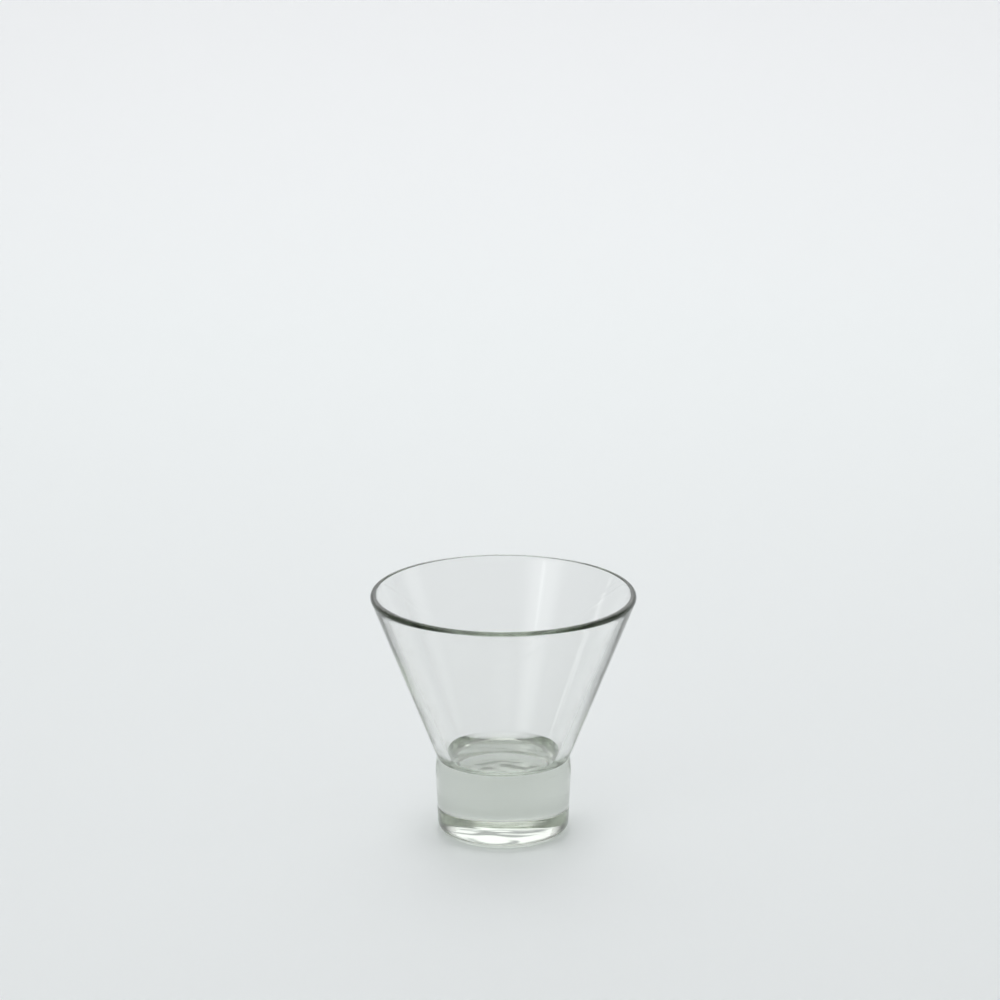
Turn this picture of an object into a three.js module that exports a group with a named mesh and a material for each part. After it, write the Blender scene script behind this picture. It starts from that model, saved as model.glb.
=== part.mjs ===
// Dessert glass: a conical bowl on a solid round base, in clear pressed glass.
// Millimetres, +Z up. The origin is the centre of the plane that the glass stands on.
import * as THREE from 'three';

// Bowl
const rimDiameter = 102;
const glassHeight = 96;
const rimThickness = 2.5; // the wall's thickness at the rim, which is rounded over
const wallGain = 1.8; // how much thicker the wall is at the neck than at the rim
const bowlFloorThickness = 2.2; // glass from the seam up to the inner floor
const bowlFloorFillet = 5; // between the inner floor and the inner wall

// Neck: the crease between the bowl's cone and the base's shoulder
const neckDepth = 0.5; // how far the neck draws in from the base's widest radius
const neckCreaseRadius = 0.8;
const seamDrop = 2.7; // from the neck down to the flat seam between the bowl and the base

// Base
const baseDiameter = 52.5; // at its widest
const baseHeight = 30.2; // from the table up to the neck
const shoulderHeight = 7; // from the widest place up to the neck
const footTaper = 0.85; // how far the side draws in from the widest radius to the foot
const footEdgeRadius = 4;
const bearingRingWidth = 1.5; // flat ring that touches the table
const undersideRise = 0.7; // hollow inside the ring

// Facets
const segmentsAround = 72;
const edgeSteps = 6; // on each rounded edge
const rimSteps = 12;
const creaseSteps = 6;
const shoulderSteps = 3; // on each side of the seam
const undersideSteps = 4;

// Points of an arc in the profile plane: x is the radius, y the height
function arcPoints(centre, radius, fromAngle, toAngle, steps) {
  const clockwise = toAngle < fromAngle;
  const curve = new THREE.EllipseCurve(
    centre.x, centre.y, radius, radius, fromAngle, toAngle, clockwise);
  return curve.getPoints(steps);
}

// Radii and centres that both pieces share
const widestRadius = baseDiameter / 2;
const neckRadius = widestRadius - neckDepth;
const creaseCentre = new THREE.Vector2(neckRadius + neckCreaseRadius, baseHeight);
const seamHeight = baseHeight - seamDrop;

// The shoulder leaves the widest place upright and runs smoothly into the neck's crease
const shoulderReach = (neckDepth ** 2 + shoulderHeight ** 2) / (2 * neckDepth);
const shoulderRadius = shoulderReach - neckCreaseRadius;
const shoulderCentre = new THREE.Vector2(widestRadius - shoulderRadius, baseHeight - shoulderHeight);
const shoulderTurn = Math.asin(shoulderHeight / shoulderReach);
const seamTurn = Math.asin((seamHeight - shoulderCentre.y) / shoulderRadius);

// Solid base: hollowed underside, bearing ring, tapered side, shoulder, and a flat top at the seam
function baseProfile() {
  const footRadius = widestRadius - footTaper;
  const edgeCentre = new THREE.Vector2(footRadius - footEdgeRadius, footEdgeRadius);
  const ringInner = edgeCentre.x - bearingRingWidth;

  // A shallow dome that meets the table plane at the ring's inner edge
  const domeRadius = (ringInner ** 2 + undersideRise ** 2) / (2 * undersideRise);
  const domeCentre = new THREE.Vector2(0, undersideRise - domeRadius);
  const domeReach = Math.asin(ringInner / domeRadius);

  return [
    new THREE.Vector2(0, undersideRise),
    ...arcPoints(domeCentre, domeRadius, Math.PI / 2, Math.PI / 2 - domeReach, undersideSteps).slice(1),
    ...arcPoints(edgeCentre, footEdgeRadius, -Math.PI / 2, 0, edgeSteps),
    ...arcPoints(shoulderCentre, shoulderRadius, 0, seamTurn, shoulderSteps),
    new THREE.Vector2(0, seamHeight),
  ];
}

// Bowl: a flat bottom at the seam, the neck, a conical wall, a rounded rim and a filleted inner floor
function bowlProfile() {
  const rimRadius = rimThickness / 2;
  const rimCentre = new THREE.Vector2(rimDiameter / 2 - rimRadius, glassHeight - rimRadius);

  // The outer wall is the straight line that touches the crease on one side and the rim on the other
  const span = rimCentre.clone().sub(creaseCentre);
  const lean = Math.atan2(span.x, span.y) + Math.asin((neckCreaseRadius + rimRadius) / span.length());

  // The inner wall touches the rim's round too, and leans further in, so the wall thickens downwards
  const innerLean = lean + Math.asin(wallGain / span.length());
  const outward = new THREE.Vector2(Math.cos(innerLean), -Math.sin(innerLean));
  const innerWallOffset = outward.dot(rimCentre) - rimRadius;

  // The floor's fillet touches the inner wall and the inner floor
  const floorHeight = seamHeight + bowlFloorThickness;
  const filletHeight = floorHeight + bowlFloorFillet;
  const filletCentre = new THREE.Vector2(
    (innerWallOffset - bowlFloorFillet - outward.y * filletHeight) / outward.x, filletHeight);

  const creaseArc = arcPoints(
    creaseCentre, neckCreaseRadius, Math.PI + shoulderTurn, Math.PI - lean, creaseSteps);

  return [
    new THREE.Vector2(0, seamHeight),
    ...arcPoints(shoulderCentre, shoulderRadius, seamTurn, shoulderTurn, shoulderSteps),
    ...creaseArc.slice(1),
    ...arcPoints(rimCentre, rimRadius, -lean, Math.PI - innerLean, rimSteps),
    ...arcPoints(filletCentre, bowlFloorFillet, -innerLean, -Math.PI / 2, edgeSteps),
    new THREE.Vector2(0, floorHeight),
  ];
}

// Turns a profile about the Z axis
function turnedPiece(name, profile, material) {
  const geometry = new THREE.LatheGeometry(profile, segmentsAround);
  geometry.rotateX(Math.PI / 2);
  const piece = new THREE.Mesh(geometry, material);
  piece.name = name;
  return piece;
}

function clearGlass(colour) {
  return new THREE.MeshStandardMaterial({
    color: colour, roughness: 0.04, metalness: 0, transparent: true, opacity: 0.35,
  });
}

const thinGlassColour = 0xe6ece8;
const thickGlassColour = 0xc4d2c6;

const dessertGlass = new THREE.Group();
dessertGlass.add(turnedPiece('bowl', bowlProfile(), clearGlass(thinGlassColour)));
dessertGlass.add(turnedPiece('solid_base', baseProfile(), clearGlass(thickGlassColour)));

export default dessertGlass;
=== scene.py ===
"""Dresses the dessert glass: a pressed-glass bowl on a solid base, on a pale studio sweep."""
import math

import bpy
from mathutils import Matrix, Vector, noise


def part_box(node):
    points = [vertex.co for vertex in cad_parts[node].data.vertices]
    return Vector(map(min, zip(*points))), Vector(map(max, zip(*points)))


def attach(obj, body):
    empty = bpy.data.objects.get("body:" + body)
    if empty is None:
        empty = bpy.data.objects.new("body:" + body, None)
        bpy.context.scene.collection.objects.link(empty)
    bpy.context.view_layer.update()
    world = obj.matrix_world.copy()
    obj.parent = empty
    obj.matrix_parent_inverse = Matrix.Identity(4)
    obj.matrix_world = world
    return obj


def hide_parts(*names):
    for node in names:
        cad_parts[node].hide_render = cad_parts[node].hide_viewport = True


MM = 0.001

# Camera, fitted to the photograph
IMAGE_SIZE = 1000
FOCAL_PIXELS = 4000
SENSOR_WIDTH = 36
CAMERA_PITCH = math.radians(16.17)
FOOT_PIXEL = (503.3, 827.4)
FOOT_DEPTH = 1.5577

# Bowl. Its rim has a large round outside and a small one inside
RIM_THICKNESS = 2.5 * MM
RIM_OUTER_ROUND = 1.45 * MM
RIM_INNER_ROUND = 0.2 * MM
WALL_GAIN = 1.8 * MM
FLOOR_THICKNESS = 2.2 * MM
FLOOR_FILLET = 5.0 * MM

# Neck
NECK_HEIGHT = 30.2 * MM
NECK_DEPTH = 0.5 * MM
NECK_CREASE_RADIUS = 0.8 * MM

# Base
SHOULDER_HEIGHT = 7.0 * MM
FOOT_TAPER = 0.85 * MM
FOOT_EDGE_RADIUS = 4.0 * MM
BEARING_RING_WIDTH = 1.5 * MM
UNDERSIDE_RISE = 0.7 * MM

# The two pieces of glass part at the seam by less than the eye can see
SEAM_GAP = 0.02 * MM

# Mesh
SEGMENTS_AROUND = 240
ARC_STEP = 0.35 * MM
FEWEST_ARC_STEPS = 3
LINE_STEP = 1.5 * MM
POINT_TOLERANCE = 1e-6

# Waves that the mould leaves in the glass: length and height. The base's waves give way to the bowl's
# between two heights, and the underside's only show where the skin faces down
UNDERSIDE_WAVE = (6.0 * MM, 0.2 * MM)
BASE_WAVE = (9.0 * MM, 0.035 * MM)
BOWL_WAVE = (16.0 * MM, 0.015 * MM)
WAVE_BLEND = (30.0 * MM, 42.0 * MM)
DOWNWARD_POWER = 6

# Glass
GLASS_IOR = 1.5
SEAM_IOR = 1.0
GLASS_COLOUR = (0.625, 0.67, 0.60)
GLASS_DENSITY = 20.0
SMUDGE_SCALE = 45.0
SMUDGE_DETAIL = 5
SMUDGE_RANGE = (0.45, 0.75)
SMUDGE_ROUGHNESS = (0.0, 0.02)
SCUFF_HEIGHT = 0.6 * MM
SCUFF_ROUGHNESS = 0.04
RIPPLE_SCALE = 260.0
RIPPLE_HEIGHT = 0.004 * MM

# Sweep. A film of air stays between the glass and the paper, which keeps its full width on the floor
# and in the first share of its curve
PAPER_GAP = 0.03 * MM
SWEEP_WIDTH = 8.0
SWEEP_WALL_WIDTH = 2.2
SWEEP_WIDE_SHARE = 0.5
SWEEP_FRONT = -1.6
SWEEP_BACK = 1.5
SWEEP_CURVE = 0.7
SWEEP_TOP = 1.6
SWEEP_STEPS = 30

# Paper. Its colour changes between two distances behind the glass: painted light that makes it paler
# towards the back, as if lit more strongly there
PAPER_FRONT_COLOUR = (0.80, 0.83, 0.835)
PAPER_PAINTED_LIGHT_COLOUR = (0.90, 0.91, 0.925)
PAPER_PAINTED_LIGHT_RANGE = (0.8, 1.3)
PAPER_SPECULAR = 0.3
PAPER_ROUGHNESS = (0.45, 0.6)
FIBRE_SCALE = 700.0
FIBRE_RANGE = (0.3, 0.7)
FIBRE_HEIGHT = 0.03 * MM

# Detail of the fine noise in the glass's ripple and the paper's fibres
FINE_DETAIL = 3

# Light. A lamp's own coordinates run from 0 to 1 across it
WORLD_COLOUR = (0.20, 0.20, 0.20)
LIGHT_BOUNCES = 64
LAMP_MIDDLE = 0.5

# Lamps: azimuth in degrees from the camera's side towards the right, elevation in degrees, distance,
# width, height, radiance, and the share of the half width over which the edge fades
LAMPS = {
    "overhead": (180, 90, 1.8, 3.6, 3.6, 1.32, 0.5),
    "glow": (180, 36, 1.3, 3.2, 0.9, 0.94, 0.5),
    "front": (0, 19, 1.7, 1.2, 0.5, 0.5, 0.8),
    "key": (-42, 27, 1.3, 1.05, 1.0, 1.0, 0.8),
    "key_core": (-40.5, 31, 1.2, 0.10, 0.36, 1.3, 0.9),
    "strip": (-113, 7, 1.3, 0.20, 0.3, 2.2, 0.9),
    "fill": (95, 17, 1.3, 0.6, 0.8, 0.5, 0.7),
}


def arc_points(centre, radius, start, end):
    """Points of an arc in the profile plane, as (radius, height)."""
    steps = max(FEWEST_ARC_STEPS, math.ceil(abs(end - start) * radius / ARC_STEP))
    angles = [start + (end - start) * i / steps for i in range(steps + 1)]
    return [(centre[0] + radius * math.cos(a), centre[1] + radius * math.sin(a)) for a in angles]


def densified(points):
    """The same outline with its long straight runs cut into short ones."""
    dense = [points[0]]
    for (r0, z0), (r1, z1) in zip(points, points[1:]):
        length = math.hypot(r1 - r0, z1 - z0)
        if length < POINT_TOLERANCE:
            continue
        pieces = max(1, math.ceil(length / LINE_STEP))
        for i in range(1, pieces + 1):
            dense.append((r0 + (r1 - r0) * i / pieces, z0 + (z1 - z0) * i / pieces))
    return dense


class GlassSizes:
    """Radii and centres that the two outlines share, from the CAD boxes."""

    def __init__(self):
        bowl_low, bowl_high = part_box("bowl")
        base_low, base_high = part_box("solid_base")
        self.rim_radius = (bowl_high[0] - bowl_low[0]) / 2
        self.top = bowl_high[2]
        self.widest_radius = (base_high[0] - base_low[0]) / 2
        self.seam_height = base_high[2]
        self.crease = (self.widest_radius - NECK_DEPTH + NECK_CREASE_RADIUS, NECK_HEIGHT)
        reach = (NECK_DEPTH ** 2 + SHOULDER_HEIGHT ** 2) / (2 * NECK_DEPTH)
        self.shoulder_radius = reach - NECK_CREASE_RADIUS
        self.shoulder = (self.widest_radius - self.shoulder_radius, NECK_HEIGHT - SHOULDER_HEIGHT)
        self.shoulder_turn = math.asin(SHOULDER_HEIGHT / reach)
        self.seam_turn = math.asin((self.seam_height - self.shoulder[1]) / self.shoulder_radius)


def base_outline(sizes):
    """Outline of the solid base from the underside's centre to the outer edge of the seam."""
    foot_radius = sizes.widest_radius - FOOT_TAPER
    edge = (foot_radius - FOOT_EDGE_RADIUS, FOOT_EDGE_RADIUS)
    ring_inner = edge[0] - BEARING_RING_WIDTH
    dome_radius = (ring_inner ** 2 + UNDERSIDE_RISE ** 2) / (2 * UNDERSIDE_RISE)
    dome = (0, UNDERSIDE_RISE - dome_radius)
    dome_reach = math.asin(ring_inner / dome_radius)
    return densified([
        (0, UNDERSIDE_RISE),
        *arc_points(dome, dome_radius, math.pi / 2, math.pi / 2 - dome_reach)[1:],
        *arc_points(edge, FOOT_EDGE_RADIUS, -math.pi / 2, 0),
        *arc_points(sizes.shoulder, sizes.shoulder_radius, 0, sizes.seam_turn),
    ])


def bowl_outline(sizes):
    """Outline of the bowl from the seam's outer edge, over the rim, to the middle of the inner floor."""
    rim = (sizes.rim_radius - RIM_OUTER_ROUND, sizes.top - RIM_OUTER_ROUND)
    span = (rim[0] - sizes.crease[0], rim[1] - sizes.crease[1])
    lean = math.atan2(*span) + math.asin((NECK_CREASE_RADIUS + RIM_OUTER_ROUND) / math.hypot(*span))
    inner_lean = lean + math.asin(WALL_GAIN / math.hypot(*span))
    outward = (math.cos(inner_lean), -math.sin(inner_lean))
    rim_inside = RIM_OUTER_ROUND - RIM_THICKNESS
    inner_offset = outward[0] * rim[0] + outward[1] * rim[1] + rim_inside
    inner_rim_height = sizes.top - RIM_INNER_ROUND
    inner_rim_radius = (inner_offset + RIM_INNER_ROUND - outward[1] * inner_rim_height) / outward[0]
    inner_rim = (inner_rim_radius, inner_rim_height)
    floor_height = sizes.seam_height + FLOOR_THICKNESS
    fillet_height = floor_height + FLOOR_FILLET
    fillet_radius = (inner_offset - FLOOR_FILLET - outward[1] * fillet_height) / outward[0]
    fillet = (fillet_radius, fillet_height)
    return densified([
        *arc_points(sizes.shoulder, sizes.shoulder_radius, sizes.seam_turn, sizes.shoulder_turn),
        *arc_points(sizes.crease, NECK_CREASE_RADIUS, math.pi + sizes.shoulder_turn, math.pi - lean)[1:],
        *arc_points(rim, RIM_OUTER_ROUND, -lean, math.pi / 2),
        *arc_points(inner_rim, RIM_INNER_ROUND, math.pi / 2, math.pi - inner_lean),
        *arc_points(fillet, FLOOR_FILLET, -inner_lean, -math.pi / 2),
        (0, floor_height),
    ])


def outline_normals(outline):
    """The outward direction at each point of an outline, as (radius, height)."""
    normals = []
    for index in range(len(outline)):
        r0, z0 = outline[max(index - 1, 0)]
        r1, z1 = outline[min(index + 1, len(outline) - 1)]
        length = math.hypot(r1 - r0, z1 - z0)
        normals.append(((z1 - z0) / length, -(r1 - r0) / length))
    return normals


def wavy(point, normal):
    """A point of the skin, moved in or out a little by the mould's waves."""
    low, high = WAVE_BLEND
    share = min(max((point.z - low) / (high - low), 0), 1)
    base = noise.noise(point / BASE_WAVE[0]) * BASE_WAVE[1]
    bowl = noise.noise(point / BOWL_WAVE[0]) * BOWL_WAVE[1]
    underside = noise.noise(point / UNDERSIDE_WAVE[0]) * UNDERSIDE_WAVE[1]
    downward = max(0, -normal.z) ** DOWNWARD_POWER
    moved = point + normal * (base * (1 - share) + bowl * share + underside * downward)
    moved.z = max(moved.z, 0)
    return moved


def skin_rings(outline):
    """The whole glass as rings of points, from the underside's centre to the inner floor's."""
    rings = []
    for (r, z), (out, up) in zip(outline, outline_normals(outline)):
        count = 1 if r < POINT_TOLERANCE else SEGMENTS_AROUND
        ring = []
        for i in range(count):
            turn = 2 * math.pi * i / SEGMENTS_AROUND
            around = Vector((math.cos(turn), math.sin(turn), 0))
            point = around * r + Vector((0, 0, z))
            if count == 1:
                normal = Vector((0, 0, math.copysign(1, up)))
            else:
                normal = around * out + Vector((0, 0, up))
            ring.append(wavy(point, normal))
        rings.append(ring)
    return rings


def numbered(rings):
    """The same rings as running point numbers."""
    numbers = []
    start = 0
    for ring in rings:
        numbers.append(list(range(start, start + len(ring))))
        start += len(ring)
    return numbers


def skin_faces(numbers):
    """Faces between neighbouring rings."""
    faces = []
    for low, high in zip(numbers, numbers[1:]):
        for i in range(SEGMENTS_AROUND):
            j = (i + 1) % SEGMENTS_AROUND
            if len(low) == 1:
                faces.append((low[0], high[j], high[i]))
            elif len(high) == 1:
                faces.append((low[i], low[j], high[0]))
            else:
                faces.append((low[i], low[j], high[j], high[i]))
    return faces


def skin_normals(rings):
    """Smooth normals of the whole glass, ring by ring, so that none breaks at the seam."""
    numbers = numbered(rings)
    mesh = bpy.data.meshes.new("whole_skin")
    mesh.from_pydata([point for ring in rings for point in ring], [], skin_faces(numbers))
    normals = [[mesh.vertex_normals[n].vector.copy() for n in ring] for ring in numbers]
    bpy.data.meshes.remove(mesh)
    return normals


def piece_mesh(name, rings, normals, seam_at_start):
    """One piece of the glass: its part of the skin, closed by a flat face at the seam."""
    numbers = numbered(rings)
    points = [point for ring in rings for point in ring]
    point_normals = [normal for ring in normals for normal in ring]
    faces = skin_faces(numbers)
    skin_count = len(faces)
    seam = numbers[0] if seam_at_start else numbers[-1]
    centre = len(points)
    points.append(sum((points[n] for n in seam), Vector()) / len(seam))
    for i in range(SEGMENTS_AROUND):
        j = (i + 1) % SEGMENTS_AROUND
        faces.append((seam[j], seam[i], centre) if seam_at_start else (seam[i], seam[j], centre))
    mesh = bpy.data.meshes.new(name)
    mesh.from_pydata(points, [], faces)
    seam_normal = Vector((0, 0, -1 if seam_at_start else 1))
    corner_normals = []
    seam_mark = mesh.attributes.new("fused_seam", "FLOAT", "FACE")
    for index, face in enumerate(mesh.polygons):
        on_seam = index >= skin_count
        seam_mark.data[index].value = 1 if on_seam else 0
        face.use_smooth = True
        corner_normals += [seam_normal if on_seam else point_normals[n] for n in face.vertices]
    mesh.normals_split_custom_set(corner_normals)
    mesh.update()
    return mesh


def object_noise(nodes, links, scale, detail):
    """Noise fixed to the object, with features about 1/scale metres wide."""
    place = nodes.new("ShaderNodeTexCoord")
    pattern = nodes.new("ShaderNodeTexNoise")
    pattern.inputs["Scale"].default_value = scale
    pattern.inputs["Detail"].default_value = detail
    links.new(place.outputs["Object"], pattern.inputs["Vector"])
    return pattern


def mapped(nodes, links, source, from_range, to_range):
    """A value moved from one range to another, without leaving it."""
    remap = nodes.new("ShaderNodeMapRange")
    remap.inputs["From Min"].default_value = from_range[0]
    remap.inputs["From Max"].default_value = from_range[1]
    remap.inputs["To Min"].default_value = to_range[0]
    remap.inputs["To Max"].default_value = to_range[1]
    links.new(source, remap.inputs["Value"])
    return remap.outputs["Result"]


def object_place(nodes, links, axis):
    """One coordinate of the object's own frame."""
    place = nodes.new("ShaderNodeTexCoord")
    split = nodes.new("ShaderNodeSeparateXYZ")
    links.new(place.outputs["Object"], split.inputs["Vector"])
    return split.outputs[axis]


def add_ripple(nodes, links, shader, scale, height):
    """Fine relief on a surface."""
    pattern = object_noise(nodes, links, scale, FINE_DETAIL)
    bump = nodes.new("ShaderNodeBump")
    bump.inputs["Distance"].default_value = height
    links.new(pattern.outputs["Fac"], bump.inputs["Height"])
    links.new(bump.outputs["Normal"], shader.inputs["Normal"])


def add_smudges(nodes, links, shader):
    """Faint patches left by washing, and scuffs on the ring that the glass stands on."""
    pattern = object_noise(nodes, links, SMUDGE_SCALE, SMUDGE_DETAIL)
    smudge = mapped(nodes, links, pattern.outputs["Fac"], SMUDGE_RANGE, SMUDGE_ROUGHNESS)
    height = object_place(nodes, links, "Z")
    scuff = mapped(nodes, links, height, (0, SCUFF_HEIGHT), (SCUFF_ROUGHNESS, 0))
    rougher = nodes.new("ShaderNodeMath")
    rougher.operation = "MAXIMUM"
    links.new(smudge, rougher.inputs[0])
    links.new(scuff, rougher.inputs[1])
    links.new(rougher.outputs["Value"], shader.inputs["Roughness"])


def glass_material():
    """Clear pressed glass, faintly green in thick sections. Its fused seam doesn't bend light."""
    material = bpy.data.materials.new("pressed_glass")
    material.use_nodes = True
    nodes = material.node_tree.nodes
    links = material.node_tree.links
    shader = nodes["Principled BSDF"]
    shader.inputs["Base Color"].default_value = (1, 1, 1, 1)
    shader.inputs["Transmission Weight"].default_value = 1
    add_smudges(nodes, links, shader)
    add_ripple(nodes, links, shader, RIPPLE_SCALE, RIPPLE_HEIGHT)
    seam = nodes.new("ShaderNodeAttribute")
    seam.attribute_name = "fused_seam"
    bend = mapped(nodes, links, seam.outputs["Fac"], (0, 1), (GLASS_IOR, SEAM_IOR))
    links.new(bend, shader.inputs["IOR"])
    absorb = nodes.new("ShaderNodeVolumeAbsorption")
    absorb.inputs["Color"].default_value = (*GLASS_COLOUR, 1)
    absorb.inputs["Density"].default_value = GLASS_DENSITY
    links.new(absorb.outputs["Volume"], nodes["Material Output"].inputs["Volume"])
    return material


def glass_piece(name, node, mesh, material):
    """A piece of the glass that stands for its CAD node."""
    mesh.materials.append(material)
    piece = bpy.data.objects.new(name, mesh)
    bpy.context.collection.objects.link(piece)
    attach(piece, "root")
    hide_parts(node)


def add_glass():
    """The base and the bowl, cut from one skin at the seam."""
    sizes = GlassSizes()
    base = base_outline(sizes)
    rings = skin_rings(base + bowl_outline(sizes)[1:])
    normals = skin_normals(rings)
    seam = len(base) - 1
    base_rings = rings[:seam] + [[point - Vector((0, 0, SEAM_GAP)) for point in rings[seam]]]
    material = glass_material()
    base_mesh = piece_mesh("glass_base", base_rings, normals[:seam + 1], seam_at_start=False)
    bowl_mesh = piece_mesh("glass_bowl", rings[seam:], normals[seam:], seam_at_start=True)
    glass_piece("glass_base", "solid_base", base_mesh, material)
    glass_piece("glass_bowl", "bowl", bowl_mesh, material)


def paper_material():
    """Matt pale paper with a fine tooth, with painted light that makes it a little paler towards the
    back.
    """
    material = bpy.data.materials.new("sweep_paper")
    material.use_nodes = True
    nodes = material.node_tree.nodes
    links = material.node_tree.links
    shader = nodes["Principled BSDF"]
    shader.inputs["Specular IOR Level"].default_value = PAPER_SPECULAR
    # Painted light: the paper's colour turns paler towards the back, standing in for the light that
    # falls more strongly there
    shade = nodes.new("ShaderNodeMix")
    shade.data_type = "RGBA"
    shade.inputs["A"].default_value = (*PAPER_FRONT_COLOUR, 1)
    shade.inputs["B"].default_value = (*PAPER_PAINTED_LIGHT_COLOUR, 1)
    depth = object_place(nodes, links, "Y")
    links.new(mapped(nodes, links, depth, PAPER_PAINTED_LIGHT_RANGE, (0, 1)), shade.inputs["Factor"])
    links.new(shade.outputs["Result"], shader.inputs["Base Color"])
    fibre = object_noise(nodes, links, FIBRE_SCALE, FINE_DETAIL)
    rough = mapped(nodes, links, fibre.outputs["Fac"], FIBRE_RANGE, PAPER_ROUGHNESS)
    links.new(rough, shader.inputs["Roughness"])
    add_ripple(nodes, links, shader, FIBRE_SCALE, FIBRE_HEIGHT)
    return material


def add_sweep():
    """A sheet of paper that runs under the glass and narrows as it curves up behind it."""
    rows = [(SWEEP_WIDTH, SWEEP_FRONT, 0)]
    for step in range(SWEEP_STEPS + 1):
        share = step / SWEEP_STEPS
        turn = share * math.pi / 2
        narrowing = max(0, share - SWEEP_WIDE_SHARE) / (1 - SWEEP_WIDE_SHARE)
        rows.append((
            SWEEP_WIDTH + (SWEEP_WALL_WIDTH - SWEEP_WIDTH) * narrowing,
            SWEEP_BACK - SWEEP_CURVE + SWEEP_CURVE * math.sin(turn),
            SWEEP_CURVE - SWEEP_CURVE * math.cos(turn)))
    rows.append((SWEEP_WALL_WIDTH, SWEEP_BACK, SWEEP_TOP))
    verts = [(side * width / 2, y, z) for width, y, z in rows for side in (-1, 1)]
    faces = [(2 * i, 2 * i + 1, 2 * i + 3, 2 * i + 2) for i in range(len(rows) - 1)]
    mesh = bpy.data.meshes.new("sweep")
    mesh.from_pydata(verts, [], faces)
    for face in mesh.polygons:
        face.use_smooth = True
    mesh.materials.append(paper_material())
    sweep = bpy.data.objects.new("sweep", mesh)
    sweep.location.z = -PAPER_GAP
    bpy.context.collection.objects.link(sweep)


def soften(lamp, fade):
    """Fades a soft box towards its edges, over a share of its half width."""
    lamp.use_nodes = True
    nodes = lamp.node_tree.nodes
    links = lamp.node_tree.links
    place = nodes.new("ShaderNodeNewGeometry")
    split = nodes.new("ShaderNodeSeparateXYZ")
    links.new(place.outputs["Parametric"], split.inputs["Vector"])
    both = nodes.new("ShaderNodeMath")
    both.operation = "MULTIPLY"
    for index, axis in enumerate("XY"):
        edge = nodes.new("ShaderNodeMath")
        edge.operation = "PINGPONG"
        edge.inputs[1].default_value = LAMP_MIDDLE
        ramp = nodes.new("ShaderNodeMapRange")
        ramp.interpolation_type = "SMOOTHSTEP"
        ramp.inputs["From Max"].default_value = fade * LAMP_MIDDLE
        links.new(split.outputs[axis], edge.inputs[0])
        links.new(edge.outputs["Value"], ramp.inputs["Value"])
        links.new(ramp.outputs["Result"], both.inputs[index])
    links.new(both.outputs["Value"], nodes["Emission"].inputs["Strength"])


def add_lamp(name, azimuth, elevation, distance, width, height, radiance, fade):
    """A soft box that faces the glass."""
    turn = math.radians(azimuth)
    rise = math.radians(elevation)
    place = Vector((
        math.sin(turn) * math.cos(rise), -math.cos(turn) * math.cos(rise), math.sin(rise))) * distance
    lamp = bpy.data.lights.new(name, "AREA")
    lamp.shape = "RECTANGLE"
    lamp.size = width
    lamp.size_y = height
    lamp.energy = radiance * math.pi * width * height
    soften(lamp, fade)
    holder = bpy.data.objects.new(name, lamp)
    holder.location = place
    holder.rotation_euler = (-place).to_track_quat("-Z", "Y").to_euler()
    bpy.context.collection.objects.link(holder)


def add_world():
    """Dim grey light from all around."""
    world = bpy.data.worlds.new("studio")
    world.use_nodes = True
    world.node_tree.nodes["Background"].inputs["Color"].default_value = (*WORLD_COLOUR, 1)
    bpy.context.scene.world = world


def add_camera():
    """A long lens that sees the foot's centre at its pixel in the photograph."""
    camera = bpy.data.cameras.new("camera")
    camera.sensor_width = SENSOR_WIDTH
    camera.lens = SENSOR_WIDTH * FOCAL_PIXELS / IMAGE_SIZE
    right = (FOOT_PIXEL[0] - IMAGE_SIZE / 2) / FOCAL_PIXELS * FOOT_DEPTH
    down = (FOOT_PIXEL[1] - IMAGE_SIZE / 2) / FOCAL_PIXELS * FOOT_DEPTH
    forward = Vector((0, math.cos(CAMERA_PITCH), -math.sin(CAMERA_PITCH)))
    upward = Vector((0, math.sin(CAMERA_PITCH), math.cos(CAMERA_PITCH)))
    holder = bpy.data.objects.new("camera", camera)
    holder.location = Vector((-right, 0, 0)) + upward * down - forward * FOOT_DEPTH
    holder.rotation_euler = (math.pi / 2 - CAMERA_PITCH, 0, 0)
    bpy.context.collection.objects.link(holder)
    bpy.context.scene.camera = holder


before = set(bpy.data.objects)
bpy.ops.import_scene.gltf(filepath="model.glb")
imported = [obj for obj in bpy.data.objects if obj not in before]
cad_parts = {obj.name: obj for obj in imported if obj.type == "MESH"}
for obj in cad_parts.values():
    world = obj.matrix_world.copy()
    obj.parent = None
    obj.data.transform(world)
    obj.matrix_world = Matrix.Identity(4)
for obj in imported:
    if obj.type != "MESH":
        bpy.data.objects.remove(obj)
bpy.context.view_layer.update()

add_camera()
add_sweep()
add_world()
for lamp_name, lamp_values in LAMPS.items():
    add_lamp(lamp_name, *lamp_values)
add_glass()

scene = bpy.context.scene
scene.view_settings.view_transform = "Standard"
scene.cycles.max_bounces = LIGHT_BOUNCES
scene.cycles.transmission_bounces = LIGHT_BOUNCES
scene.cycles.glossy_bounces = LIGHT_BOUNCES
scene.cycles.blur_glossy = 0
